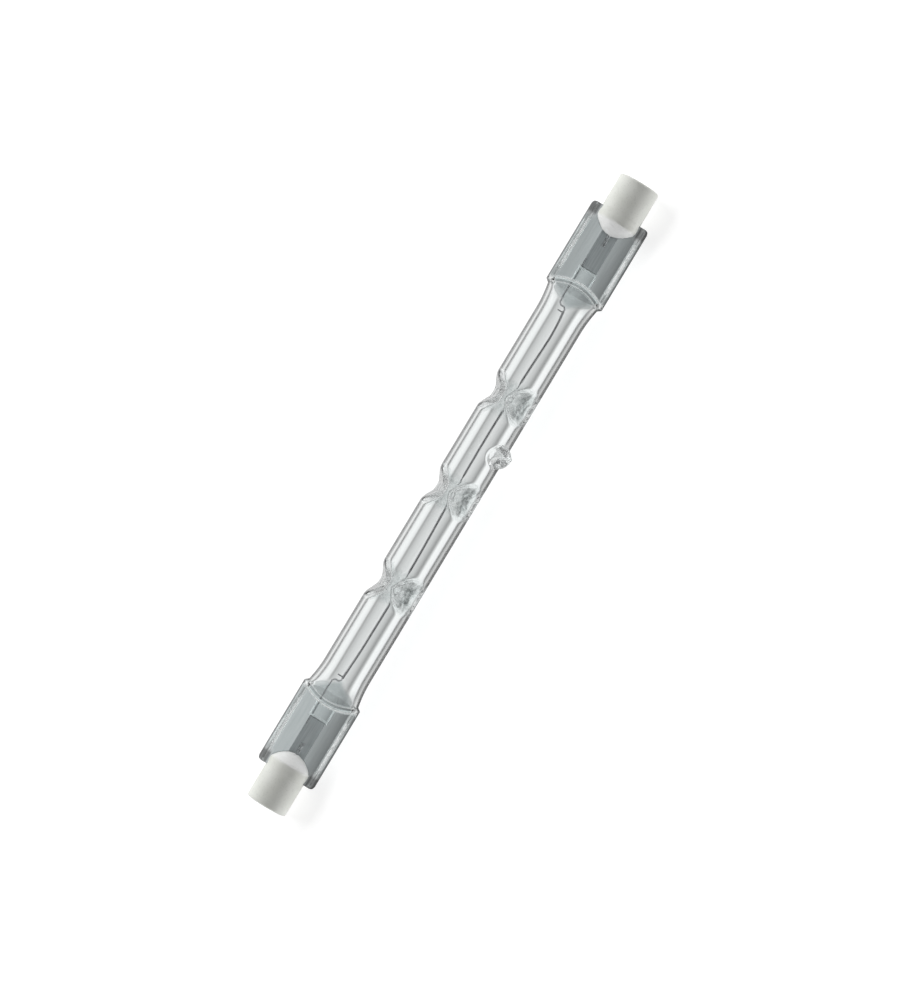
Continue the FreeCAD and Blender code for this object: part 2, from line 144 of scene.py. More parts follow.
def dimpled_radius(x, angle, radius, wall, width, marks):
    """Radius of the tube, or of its bore a wall further in, at one station, with its constrictions."""
    r = np.full_like(angle, radius)
    for number, place in enumerate(DIMPLE_AT):
        beside = abs(x - place)
        if beside > DIMPLE_REACH:
            continue
        for which, dimple in enumerate(DIMPLES):
            off = np.arctan2(np.sin(angle - dimple.turn), np.cos(angle - dimple.turn))
            flat = np.maximum(dimple.half_flat + dimple.splay * np.clip(off, -SPLAY_SIDE, SPLAY_SIDE), 0)
            past = beside - flat - BORE_LONGER * wall
            rise = (past + np.sqrt(past * past + RISE_ROUND)) / 2 - RISE_SHIFT
            level = dimple.floor - wall + np.maximum(rise, 0.0) * dimple.slope
            facing = np.maximum(np.cos(off), 0.2)
            pressed = np.where(np.abs(off) < DIMPLE_SIDE, level / facing, radius + 2 * width)
            r = soft_min(r, pressed, UPPER_ROUND if which == 0 else width)
            across = level * np.tan(np.clip(off, -DIMPLE_SIDE, DIMPLE_SIDE))
            spread = np.exp(-((x - place) / MARKS_LONG) ** 2 - (off / MARKS_SIDE) ** 2)
            seed = len(DIMPLES) * number + which + MARKS_BORE_SEED * (wall > 0)
            r = r + marks * spread * press_marks(x - place, across, seed)
    return np.minimum(r, radius)


def seal_profile(y, end):
    """Half thickness of the seal across its width: a flat web between two round beads, melted at the end."""
    a = np.abs(y)
    crown = SEAL_HALF - RAIL_ROUND
    over = np.maximum(a - crown, 0)
    drop = RAIL_HALF * (1 - np.sqrt(np.maximum(1 - (over / RAIL_ROUND) ** 2, 0)) ** 0.9)
    rise = (RAIL_HALF - WEB_HALF) * ease(RAIL_IN - 0.2, crown - 0.05, a)
    return (WEB_HALF + rise - drop) * end


def flare_size(ax, radius, wall):
    """Half width and half depth of the flare, or of its hollow a wall further in, at one station."""
    t = min((ax - FLARE_START) / (CREASE - FLARE_START), 1.0)
    wide = radius + (SEAL_HALF - wall - radius) * t * t
    deep = radius + (FLARE_DEPTH - wall - radius) * t * t
    return wide, deep


def outer_section(x, angle):
    """Outside of the envelope at one station."""
    ax = abs(x)
    c, s = np.cos(angle), np.sin(angle)
    if ax <= FLARE_START:
        r = dimpled_radius(x, angle, TUBE_R, wall=0.0, width=0.12, marks=0.07)
        return r * c, r * s
    shoulder_from, seal_from, seal_full, blend_end = 36, SEAL_START - 0.35, SEAL_START + 0.25, CREASE + 0.9
    thinner, narrower = 0.25, 0.35
    wide, deep = flare_size(ax, TUBE_R, 0.0)
    into = float(ease(seal_from, seal_full, ax))
    melt = max(ax - (SEAL_END - END_ROUND), 0.0) / END_ROUND
    end = math.sqrt(max(1 - melt * melt, 0.0)) * thinner + (1 - thinner)
    y = (wide + (SEAL_HALF - wide) * into) * (c * (1 - (1 - end) * narrower))
    height = deep * np.sqrt(np.maximum(1 - (y / wide) ** 2, 0))
    reach = np.hypot(ax - (CREASE - CREASE_R), y)
    shoulder = np.maximum(WEB_HALF + CREASE_R - reach, 0)
    if ax > shoulder_from:
        height = soft_min(height, shoulder, SHOULDER_SOFT)
    if into > 0:
        flat = seal_profile(y / max(np.abs(y).max() / SEAL_HALF, 0.9), end)
        height = soft_max(height, flat * into, SEAL_SOFT) if ax < blend_end else flat
    return y, np.sign(s) * np.maximum(height, 0)


def inner_section(x, angle):
    """The hollow of the envelope at one station."""
    ax = abs(x)
    c, s = np.cos(angle), np.sin(angle)
    if ax <= FLARE_START:
        r = dimpled_radius(x, angle, BORE_R, wall=1.05, width=0.16, marks=0.06)
        return r * c, r * s
    shoulder_from, pocket_from = 35, SEAL_START + 1
    closing_from, closing_square = POCKET_END - 0.5, 0.26
    wide, deep = flare_size(ax, BORE_R, 1)
    foot = CREASE_R + WEB_HALF - math.sqrt(2)
    along = ax - (CREASE - CREASE_R)
    plan = math.sqrt(max(foot * foot - along * along, 0.0))
    y = max(min(wide, plan), POCKET_HALF if ax > pocket_from else 0.0) * c
    height = deep * np.sqrt(np.maximum(1 - (y / wide) ** 2, 0))
    if ax > shoulder_from:
        height = soft_min(height, np.maximum(foot - np.hypot(along, y), 0), HOLLOW_SOFT)
    if ax > pocket_from:
        pocket = POCKET_RISE * np.maximum(1 - np.abs(y / POCKET_HALF) ** 3, 0) ** (1 / 2)
        closing = math.sqrt(max(1 - max(ax - closing_from, 0) ** 2 / closing_square, 0))
        height = soft_max(height, pocket * closing, POCKET_SOFT)
    return y, np.sign(s) * np.maximum(height, 0)


def grow_tip(points, base_r, ball_r, nib_r, rise):
    """Draws the surface out into the exhaust tip, a blob with a nib, where the pump stem was melted off."""
    sharp, base_shift, lump_share, lump_height = 0.25, 0.25, 0.025, 0.03
    radial = np.array((0.0, math.cos(TIP_TURN), math.sin(TIP_TURN)))
    axis = radial * math.cos(TIP_LEAN) + np.array((math.sin(TIP_LEAN), 0.0, 0.0))
    rel = points - np.array((TIP_AT - base_shift, 0.0, 0.0)) - radial * base_r
    up = rel @ axis
    across = rel - np.outer(up, axis)
    d = np.linalg.norm(across, axis=1)
    turn = np.arctan2(across @ np.cross(axis, (1.0, 0.0, 0.0)), across[:, 0])
    swirl = np.sin(3 * turn + 2.6 * d) + 0.6 * np.sin(5 * turn - 3.5 * d + 1.0)
    d = d * (1 + lump_share * swirl)
    ball = np.sqrt(np.maximum(ball_r**2 - d * d, 0)) - 2 * np.maximum(d - ball_r, 0)
    nib = rise - nib_r + np.sqrt(np.maximum(nib_r**2 - d * d, 0)) - 3 * np.maximum(d - nib_r, 0)
    target = soft_max(ball, nib, sharp) + lump_height * swirl * ease(0.2, 0.8, d) * (d < ball_r)
    near = (d < ball_r * 1.4) & (rel @ radial > -2.0)
    lifted = soft_max(up, target, sharp)
    return points + np.outer(np.where(near, np.maximum(lifted - up, 0), 0), axis)


def stations(bands, tip_count):
    """Stations along the axis, close together where the form changes."""
    half = []
    for low, high, step in bands:
        half += list(np.linspace(low, high, max(round((high - low) / step), 1), endpoint=False))
    half.append(bands[-1][1])
    both = [-x for x in reversed(half) if x > 0] + half
    tip = list(np.linspace(TIP_AT - 2.4, TIP_AT + 3.0, tip_count))
    return sorted(set(round(x, 4) for x in [*(x for x in both if not tip[0] < x < tip[-1]), *tip]))


def skin(section, places, count):
    """A closed skin through the sections, as points and faces."""
    angle = (np.arange(count) + 0.5) * 2 * math.pi / count
    rings = []
    for x in places:
        y, z = section(x, angle)
        rings.append(np.column_stack((np.full(count, x), y, z)))
    points = np.concatenate(rings)
    faces = []
    for i in range(len(places) - 1):
        faces += ring_faces(i * count, (i + 1) * count, count)
    for ring, order in ((0, -1), (len(places) - 1, 1)):
        middle, base = len(points), ring * count
        points = np.vstack((points, (places[ring], 0.0, 0.0)))
        faces += [(middle, base + j, base + (j + 1) % count)[::order] for j in range(count)]
    return points, faces


def make_envelope():
    """The quartz bulb with its outside and its hollow."""
    outer_bands = ((0, 3.9, 0.15), (3.9, 14, 0.9), (14, 21.8, 0.15), (21.8, 33, 1.0),
                   (33, 36.4, 0.34), (36.4, 41.0, 0.1), (41.0, 52.0, 1.1), (52.0, 52.8, 0.1))
    inner_bands = ((0, 3.9, 0.2), (3.9, 14, 1.2), (14, 21.8, 0.2), (21.8, 33, 1.4),
                   (33, 37, 0.4), (37, 40, 0.1), (40, 42, 0.5), (42, 42.6, 0.1))
    outer, outer_faces = skin(outer_section, stations(outer_bands, tip_count=50), count=176)
    inner, inner_faces = skin(inner_section, stations(inner_bands, tip_count=26), count=104)
    outer = grow_tip(outer, base_r=TUBE_R, ball_r=1.95, nib_r=0.5, rise=2.55)
    inner = grow_tip(inner, base_r=3.2, ball_r=0.85, nib_r=0.25, rise=1.5)
    shift = len(outer)
    faces = outer_faces + [tuple(shift + v for v in face[::-1]) for face in inner_faces]
    piece = smooth_piece("quartz_bulb", rolled(np.vstack((outer, inner))), faces)
    piece.data.polygons.foreach_set("material_index", [0] * len(outer_faces) + [1] * len(inner_faces))
    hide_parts("quartz_envelope")


# The coil
def coil_line(x):
    """Where the coil's middle runs: it wanders a little off the axis between its ends."""
    knots = ((-COIL_END, 0.0), (-33.4, -0.06), (-30, -0.26), (-26, -0.3), (-22, -0.35), (-14, -0.4),
             (-10, -0.32), (-6, -0.2), (-4, -0.1), (4, 0.13), (10, 0.19), (14, 0.16), (20, 0.0), (24, -0.1),
             (28, -0.28), (31.5, -0.36), (33.4, -0.12), (COIL_END, 0.0))
    window = 25
    xs, ys = zip(*knots)
    fine = np.linspace(xs[0], xs[-1], 400)
    padded = np.pad(np.interp(fine, xs, ys), window // 2, mode="edge")
    smooth = np.convolve(padded, np.ones(window) / window, mode="valid")
    y = np.interp(x, fine, smooth) * ease(0, 1.2, COIL_END - np.abs(x))
    return y, 0.4 * y


def coil_turns():
    """The coil's wire, as points and faces. The coil is thinner inside the constrictions."""
    per_turn, sides = 14, 5
    thinner, thin_middle, thin_from, thin_to = 0.11, 0.7, 2.2, 3.2
    t = np.arange(int(2 * COIL_END / COIL_PITCH * per_turn) + 1) / per_turn
    x = -COIL_END + WIRE_R + t * COIL_PITCH * (1 - WIRE_R / COIL_END)
    oy, oz = coil_line(x)
    coil_r = COIL_R
    for place in DIMPLE_AT:
        coil_r = coil_r - thinner * (1 - ease(thin_from, thin_to, np.abs(x - place - thin_middle)))
    a = t * 2 * math.pi
    points, faces = [], []
    for i in range(sides):
        b = i * 2 * math.pi / sides
        r = coil_r + WIRE_R * math.cos(b)
        points.append(np.column_stack((x + WIRE_R * math.sin(b), oy + r * np.cos(a), oz + r * np.sin(a))))
    count = len(x)
    for i in range(sides):
        first, second = i * count, (i + 1) % sides * count
        faces += [(first + j, second + j, second + j + 1, first + j + 1) for j in range(count - 1)]
    faces.append(tuple(i * count for i in reversed(range(sides))))
    faces.append(tuple(i * count + count - 1 for i in range(sides)))
    return np.concatenate(points), faces


def make_coil():
    """The tungsten filament as a fine single coil of wire, with a short upright tail at each end."""
    tail_at, tail_r, tail_sides, tail_span = 34.5, 0.1, 8, (COIL_R, 1.0)
    points, faces = coil_turns()
    ring = np.arange(tail_sides) * 2 * math.pi / tail_sides
    for side, _ in reversed(ENDS):
        first = len(points)
        second = first + tail_sides
        for rise in tail_span:
            x = side * (tail_at + tail_r * np.cos(ring))
            tail = np.column_stack((x, np.full(tail_sides, rise), tail_r * np.sin(ring)))
            points = np.vstack((points, tail))
        faces += ring_faces(first, second, tail_sides, side)
        faces.append(tuple(range(first, second))[::-side])
        faces.append(tuple(range(second, second + tail_sides))[::side])
    piece = smooth_piece("filament_coil", rolled(points), faces)
    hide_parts("filament")


# The cement
def cut_away(piece, low, high, round_it):
    """Takes a block, or a round bar along X, out of a piece."""
    if round_it:
        bpy.ops.mesh.primitive_cylinder_add(vertices=96, radius=high[1], depth=high[0] - low[0],
                                            rotation=(0, math.pi / 2, 0))
    else:
        bpy.ops.mesh.primitive_cube_add(size=1)
        bpy.context.object.scale = Vector(high) - Vector(low)
    tool = bpy.context.object
    tool.location = ((low[0] + high[0]) / 2, 0, 0)
    change = piece.modifiers.new("cut", "BOOLEAN")
    change.object = tool
    change.solver = "EXACT"
    bpy.context.view_layer.update()
    evaluated = piece.evaluated_get(bpy.context.evaluated_depsgraph_get())
    cleaned = bpy.data.meshes.new_from_object(evaluated)
    piece.modifiers.clear()
    old, piece.data = piece.data, cleaned
    bpy.data.meshes.remove(old)
    spent = tool.data
    bpy.data.objects.remove(tool)
    bpy.data.meshes.remove(spent)


def smeared_bead(side, seed):
    """The cement's lumpy skin, turned from its outline, as points and faces."""
    stops = ((48.82, 0.05), (48.84, 0.6), (48.95, 1.1), (49.25, 1.75), (49.7, 2.4), (50.2, 2.98),
             (50.6, 3.33), (51.0, 3.6), (51.4, 3.69), (51.9, 3.68), (52.3, 3.6), (52.6, 3.57), (52.93, 3.57),
             (52.93, 3.0), (52.93, 0.05))
    steps, count = 130, 160
    lump_share, lump_shift, sink = 0.02, 0.05, 0.05
    rng = np.random.default_rng(seed)
    xs, rs = (np.array(v) for v in zip(*stops))
    length = np.concatenate(([0.0], np.cumsum(np.hypot(np.diff(xs), np.diff(rs)))))
    fine = np.linspace(0, length[-1], steps)
    x, r = np.interp(fine, length, xs), np.interp(fine, length, rs)
    angle = np.arange(count) * 2 * math.pi / count
    lumps = np.zeros((steps, count))
    for order in range(1, 9):
        a, b, c = rng.uniform(0, 2 * math.pi, 3)
        lumps += np.sin(order * angle[None, :] + a + 1.5 * order * np.sin(x[:, None] * 1.7 + b)) / order**0.8
        lumps += 0.5 * np.cos((order + 7) * angle[None, :] + 4.0 * x[:, None] + c) / order
    fade = (1 - ease(50.7, 51.4, x))[:, None]
    rr = np.minimum(r[:, None] * (1 + lump_share * lumps * fade), BEAD_LIMIT)
    xx = x[:, None] + lump_shift * lumps * fade * ease(0.4, 1.2, r)[:, None] + sink
    points = np.stack((side * xx, rr * np.cos(angle), rr * np.sin(angle)), axis=2).reshape(-1, 3)
    faces = []
    for i in range(steps - 1):
        faces += ring_faces(i * count, (i + 1) * count, count, -side)
    last = (steps - 1) * count
    faces.append(tuple(range(count))[::side])
    faces.append(tuple(range(last, last + count))[::-side])
    return points, faces


def make_cement(side, end, seed):
    """The cement bead in front of a cap, smeared by hand, with the seal's web running through it."""
    play, cap_from, cap_bore_r = 0.01, 50.89, 3.21
    inward, outward, broad = 30, 60, 8
    piece = linked_mesh(f"cement_bead_{end}", *smeared_bead(side, seed))
    low, high = sorted((side * inward, side * (SEAL_END + play)))
    cut_away(piece, (low, -broad, -WEB_HALF - play), (high, broad, WEB_HALF + play), False)
    low, high = sorted((side * cap_from, side * outward))
    cut_away(piece, (low, 0, 0), (high, cap_bore_r, 0), True)
    mesh = piece.data
    flat = np.empty(len(mesh.vertices) * 3)
    mesh.vertices.foreach_get("co", flat)
    mesh.vertices.foreach_set("co", rolled(flat.reshape(-1, 3)).ravel())
    shade_smooth(mesh)
    mesh.set_sharp_from_angle(angle=math.radians(35))
    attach(piece, "root")
    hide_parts(f"cement_{end}")


# Materials
class Nodes:
    """A short way to wire a node tree. Sources are nodes or sockets."""

    def __init__(self, owner):
        owner.use_nodes = True
        self.tree = owner.node_tree
        self.tree.nodes.clear()

    def add(self, kind, *links, **values):
        """A node with its links, as pairs of source and input, and its settings or input values."""
        node = self.tree.nodes.new(f"ShaderNode{kind}")
        for name, value in values.items():
            if hasattr(node, name):
                setattr(node, name, value)
            else:
                node.inputs[name].default_value = value
        for source, target in links:
            self.link(source, node, target)
        return node

    def link(self, source, node, target):
        """Links a source to a node's input."""
        out = source if isinstance(source, bpy.types.NodeSocket) else source.outputs[0]
        self.tree.links.new(out, node.inputs[target])

    def feed(self, node, target, value):
        """Links a source to a node's input, or sets the input to a number."""
        if isinstance(value, (int, float)):
            node.inputs[target].default_value = value
        else:
            self.link(value, node, target)

    def places(self):
        """The object's coordinates, in metres for textures, and in millimetres for sizes."""
        place = self.add("TexCoord").outputs["Object"]
        return place, self.add("VectorMath", (place, 0), operation="SCALE", Scale=1 / MM)

    def dot(self, source, direction):
        """How far a point or a way reaches in a direction."""
        node = self.add("VectorMath", (source, 0), operation="DOT_PRODUCT")
        node.inputs[1].default_value = direction
        return node.outputs["Value"]

    def noise(self, place, scale, detail):
        """Noise over a place. A scale of three numbers stretches it."""
        if isinstance(scale, tuple):
            place = self.add("Mapping", (place, "Vector"), Scale=scale)
            scale = 1.0
        return self.add("TexNoise", (place, "Vector"), Scale=scale, Detail=detail)

    def span(self, source, low, high):
        """0 at low and below, 1 at high and above."""
        return self.add("MapRange", (source, "Value"), **{"From Min": low, "From Max": high})

    def math(self, operation, first, second=0):
        """First and second, sources or numbers, put together."""
        node = self.add("Math", operation=operation)
        self.feed(node, 0, first)
        self.feed(node, 1, second)
        return node

    def times(self, *values):
        """All the values multiplied."""
        return reduce(lambda first, second: self.math("MULTIPLY", first, second), values)

    def most(self, *values):
        """The greatest of the values."""
        return reduce(lambda first, second: self.math("MAXIMUM", first, second), values)

    def rest(self, source):
        """What is left of 1."""
        return self.math("SUBTRACT", 1, source)

    def band(self, source, middle, half, soft):
        """1 within half of the middle, fading to 0 over soft."""
        off = self.math("ABSOLUTE", self.math("SUBTRACT", source, middle))
        return self.rest(self.span(off, half, half + soft))

    def mix(self, share, first, second, kind="MIX"):
        """Two colours mixed."""
        node = self.add("MixRGB", (first, "Color1"), (second, "Color2"), blend_type=kind)
        self.feed(node, "Fac", share)
        return node

    def choose(self, share, first, second):
        """Two shaders mixed."""
        node = self.add("MixShader", (first, 1), (second, 2))
        self.feed(node, 0, share)
        return node

    def ramp(self, source, *stops):
        """Colours or greys by the source's value."""
        node = self.add("ValToRGB", (source, "Fac"))
        while len(node.color_ramp.elements) < len(stops):
            node.color_ramp.elements.new(0.5)
        for element, (place, colour) in zip(node.color_ramp.elements, stops):
            element.position = place
            element.color = (*colour, 1.0) if isinstance(colour, tuple) else (colour, colour, colour, 1.0)
        return node


def material(name):
    """An empty material and its nodes."""
    made = bpy.data.materials.new(name)
    return made, Nodes(made)


# Painted shade at the quartz's rims: how much of the light it lets through, from facing the viewer (0) to its
# silhouette (1)
OUTER_RIM_SHADE = ((0.0, 1.0), (0.3, 1.0), (0.35, 0.6), (0.38, 0.6), (0.43, 1.0), (0.48, 0.97), (0.55, 0.44),
             (0.62, 0.14), (0.72, 0.05), (1.0, 0.03))
BORE_RIM_SHADE = ((0.0, 1.0), (0.37, 1.0), (0.45, 0.97), (0.53, 0.88), (0.6, 0.5), (0.66, 0.38), (0.8, 0.14),
            (1.0, 0.06))

# Places on the quartz, in millimetres, for its roughness, its painted shade and its painted highlights. A
# span has a start and an end, and a band a middle, a half width and a soft edge.
PRESSED_SPAN, PRESSED_CURVE = (34.9, 35.6), 0.75
RAIL_SPAN = (3.9, 4.3)
EAR_ALONG, EAR_ASIDE = (50.1, 51.1), (3.4, 3.8)
KNOT_BAND, EVEN_BAND = (0.0, 2.2, 1.2), (0.0, 2.0, 1.0)
FACET_ALONG, FACET_WIDE, FACET_FRONT = (0.0, 1.6, 1.0), (-2.2, 0.5, 0.6), (0.0, 1.0)
LIP_ALONG, LIP_SLOPE = (2.3, 1.1, 0.3), (-2.25, 0.16, 0.1)
NOTCH_ALONG, NOTCH_SLOPE = (2.9, 0.5, 0.4), (-1.25, 0.3, 0.2)
TIP_R, TIP_SPAN = 5.0, (1.6, 2.6)
POCKET_FROM, POCKET_TO = (39.6, 39.9), (42.5, 42.7)
POCKET_SIDE, POCKET_FRONT, POCKET_WIDE = (POCKET_HALF - 0.1, 0.06, 0.1), (POCKET_END - 0.3, 0.1, 0.1), 1.7
HOLLOW_FOLD, CREASE_FOLD, SECOND_FOLD = (8.1, 0.06, 0.12), (CREASE_R, 0.09, 0.12), (7.7, 0.04, 0.1)
STREAK_FROM, STREAK_TO = (40.2, 41.2), (49.2, 50.2)
UPPER_STREAK, LOWER_STREAK = (4.33, 0.12, 0.14), (-4.46, 0.20, 0.14)


class QuartzPlaces:
    """Sources that say, in millimetres, where a point of the quartz lies, and how far it was worked."""

    def __init__(self, n):
        place, spot = n.places()
        along = n.add("SeparateXYZ", (spot, "Vector")).outputs["X"]
        self.far = n.math("ABSOLUTE", along)
        self.wide = n.dot(spot, ACROSS)
        self.front = n.dot(spot, FRONT)
        self.aside = n.math("ABSOLUTE", self.wide)
        plan = n.add("CombineXYZ", (n.math("SUBTRACT", self.far, CREASE - CREASE_R), "X"), (self.aside, "Y"))
        self.reach = n.add("VectorMath", (plan, 0), operation="LENGTH").outputs["Value"]
        self.pressed = n.span(n.math("SUBTRACT", self.far, n.times(self.aside, PRESSED_CURVE)), *PRESSED_SPAN)
        beside = [n.math("ABSOLUTE", n.math("SUBTRACT", along, at)) for at in DIMPLE_AT]
        self.nearest = reduce(lambda first, second: n.math("MINIMUM", first, second), beside)
        self.slope = n.math("SUBTRACT", n.times(self.nearest, DIMPLES[0].slope), self.wide)
        self.knot = n.band(self.nearest, *KNOT_BAND)
        tip = rolled([(TIP_AT, TIP_R * math.cos(TIP_TURN), TIP_R * math.sin(TIP_TURN))])[0] / MM
        away = n.add("VectorMath", (spot, 0), operation="DISTANCE")
        away.inputs[1].default_value = tip
        self.tip = n.rest(n.span(away.outputs["Value"], *TIP_SPAN))
        self.grain = n.noise(place, (30, 900, 900), 2.0)
        self.lines = n.noise(place, (230, 2300, 2300), 3.0)
        self.fine_noise = n.noise(place, 1500.0, 3.0)


def quartz_tint_and_shade(n, at, rim_shade_stops, bore):
    """Clear with faint drawing streaks; painted shade makes it greyer in the seals, streaked dark on the
    rails, dark at the rails' ends, mottled darker in the constrictions and dark at the rims, and outside puts
    a dark patch and a dark line on the constrictions' front.
    """
    tint_and_shade = n.ramp(at.grain, (0.2, (0.95, 0.97, 0.968)), (0.8, (0.985, 0.995, 0.994)))
    if not bore:
        # Painted shade: the seals greyer than clear quartz.
        seal_painted_grey = n.ramp(at.lines, (0.25, (0.49, 0.54, 0.545)), (0.75, (0.57, 0.615, 0.62)))
        tint_and_shade = n.mix(at.pressed, tint_and_shade, seal_painted_grey)
    # Painted shade: dark and light streaks along the rails, darker than clear quartz.
    rail = n.times(n.span(at.aside, *RAIL_SPAN), at.pressed)
    rail_painted_shade = n.ramp(at.lines, (0.36, (0.30, 0.325, 0.325)), (0.62, (0.70, 0.74, 0.74)))
    tint_and_shade = n.mix(rail, tint_and_shade, rail_painted_shade)
    # Painted shade: the ends of the rails dark.
    ear_shade = n.times(n.span(at.far, *EAR_ALONG), n.span(at.aside, *EAR_ASIDE))
    tint_and_shade = n.mix(n.times(ear_shade, 0.75), tint_and_shade, n.ramp(ear_shade, (0.0, 1.0), (1.0, 0.12)))

    # Painted shade: darker towards the silhouette, eased in the constrictions, on the tip and, in the hollow,
    # in the seals.
    rim_shade = n.ramp(n.add("LayerWeight", Blend=0.5).outputs["Facing"], *rim_shade_stops)
    even = n.most(n.times(n.band(at.nearest, *EVEN_BAND), 0.4), at.tip)
    if bore:
        even = n.most(even, at.pressed)
    tint_and_shade = n.mix(n.rest(even), tint_and_shade, rim_shade, "MULTIPLY")
    # Painted shade: mottled darkening in the constrictions.
    knot_shade = n.ramp(at.fine_noise, (0.38, (0.80, 0.82, 0.82)), (0.6, (0.99, 0.995, 0.995)))
    tint_and_shade = n.mix(at.knot, tint_and_shade, knot_shade, "MULTIPLY")
    if bore:
        return tint_and_shade

    # Painted shade: a dark mottled patch on the front of each constriction.
    facet = n.times(n.band(at.wide, *FACET_WIDE), n.band(at.nearest, *FACET_ALONG),
                    n.span(at.front, *FACET_FRONT))
    facet_shade = n.ramp(at.fine_noise, (0.38, (0.32, 0.34, 0.34)), (0.6, (0.80, 0.82, 0.82)))
    tint_and_shade = n.mix(facet, tint_and_shade, facet_shade, "MULTIPLY")
    # Painted shade: a dark line along the dimples' slopes.
    lip_shade = n.times(n.band(at.nearest, *LIP_ALONG), n.band(at.slope, *LIP_SLOPE))
    return n.mix(n.times(lip_shade, 0.7), tint_and_shade, n.ramp(lip_shade, (0.0, 1.0), (1.0, 0.25)), "MULTIPLY")


def quartz_roughness(n, at, bore):
    """Smooth, but uneven in the constrictions and on the exhaust tip."""
    low, high = (0.12, 0.38) if bore else (0.01, 0.06)
    tip = n.times(at.tip, n.ramp(at.fine_noise, (0.4, 0.06), (0.62, 0.40)))
    return n.most(tip, n.times(at.knot, n.ramp(at.fine_noise, (0.4, low), (0.62, high))))


def quartz_painted_highlights(n, at, bore):
    """Painted highlights, where the quartz is white: lines on the folds of the seals, and outside a painted
    whitening on the notches and the tip.
    """
    if bore:
        long = n.times(n.span(at.far, *POCKET_FROM), n.rest(n.span(at.far, *POCKET_TO)))
        sides = n.times(n.band(at.aside, *POCKET_SIDE), long)
        end = n.times(n.band(at.far, *POCKET_FRONT), n.math("LESS_THAN", at.aside, POCKET_WIDE))
        folds = n.most(sides, end, n.band(at.reach, *HOLLOW_FOLD))
    else:
        crease = n.most(n.band(at.reach, *CREASE_FOLD), n.times(n.band(at.reach, *SECOND_FOLD), 0.6))
        long = n.times(n.span(at.far, *STREAK_FROM), n.rest(n.span(at.far, *STREAK_TO)))
        rails = n.most(n.band(at.wide, *UPPER_STREAK), n.band(at.wide, *LOWER_STREAK))
        folds = n.most(crease, n.times(long, rails))
    # Painted highlights: mottled white lines along these folds.
    fold_highlights = n.times(folds, at.pressed, n.ramp(at.fine_noise, (0.36, 0.5), (0.53, 1.0)))
    if bore:
        return fold_highlights
    # Painted highlights: whitening on the notches and the tip.
    notch = n.times(n.band(at.nearest, *NOTCH_ALONG), n.band(at.slope, *NOTCH_SLOPE))
    return n.most(fold_highlights, n.times(notch, 0.5), n.times(at.tip, 0.25))


def quartz_material(name, rim_shade_stops, bore):
    """Quartz glass with painted white highlights on its folds. It throws only a light shadow."""
    highlight_colour, translucent_share, shadow_colour = (0.96, 0.98, 0.98, 1), 0.3, (0.86, 0.88, 0.88, 1)
    made, n = material(name)
    at = QuartzPlaces(n)
    bump = n.add("Bump", (at.grain, "Height"), Strength=0.02, Distance=0.0001)
    glass = n.add("BsdfPrincipled", (quartz_tint_and_shade(n, at, rim_shade_stops, bore), "Base Color"),
                  (quartz_roughness(n, at, bore), "Roughness"), (bump, "Normal"))
    glass.inputs["Transmission Weight"].default_value = 1.0
    glass.inputs["IOR"].default_value = 1.458
    # Painted highlights: a white skin, diffuse and partly translucent, laid over the glass where the lines
    # are.
    white = n.choose(translucent_share, n.add("BsdfDiffuse", Color=highlight_colour),
                     n.add("BsdfTranslucent", Color=highlight_colour))
    body = n.choose(quartz_painted_highlights(n, at, bore), glass, white)
    shade = n.add("BsdfTransparent", Color=shadow_colour)
    last = n.choose(n.add("LightPath").outputs["Is Shadow Ray"], body, shade)
    n.add("OutputMaterial", (last, "Surface"))
    return made


def metal_material(name, dark, light, rough, scale, stretch):
    """Drawn or rolled metal: streaks of two tones along X, with a fine bump."""
    made, n = material(name)
    place = n.add("TexCoord").outputs["Object"]
    grain = n.noise(place, (scale / stretch, scale, scale), 6.0)
    tone = n.ramp(grain, (0.3, dark), (0.7, light))
    roughness = n.ramp(grain, (0.2, rough - 0.08), (0.8, rough + 0.08))
    bump = n.add("Bump", (grain, "Height"), Strength=0.15, Distance=0.00002)
    shader = n.add("BsdfPrincipled", (tone, "Base Color"), (roughness, "Roughness"), (bump, "Normal"))
    shader.inputs["Metallic"].default_value = 1.0
    n.add("OutputMaterial", (shader, "Surface"))
    return made


CAP_TONES = ((0.70, 0.712, 0.665), (0.76, 0.77, 0.73))
CEMENT_TONES = ((0.80, 0.805, 0.795), (0.87, 0.875, 0.87))


def mottled(n, cloud, tones):
    """Two tones in soft clouds."""
    return n.ramp(cloud, (0.3, tones[0]), (0.7, tones[1]))


def cap_material():
    """Fired ceramic: soft mottling, fine specks and a dry grainy surface."""
    made, n = material("cap_ceramic")
    place = n.add("TexCoord").outputs["Object"]
    cloud = n.noise(place, 350.0, 4.0)
    fine_noise = n.noise(place, 4200.0, 2.0)
    specks = n.ramp(fine_noise, (0.32, 0.9), (0.42, 1.0))
    tone = n.mix(1, mottled(n, cloud, CAP_TONES), specks, "MULTIPLY")
    roughness = n.ramp(cloud, (0.2, 0.49), (0.8, 0.61))
    bump = n.add("Bump", (fine_noise, "Height"), Strength=0.25, Distance=0.00003)
    shader = n.add("BsdfPrincipled", (tone, "Base Color"), (roughness, "Roughness"), (bump, "Normal"))
    n.add("OutputMaterial", (shader, "Surface"))
    return made


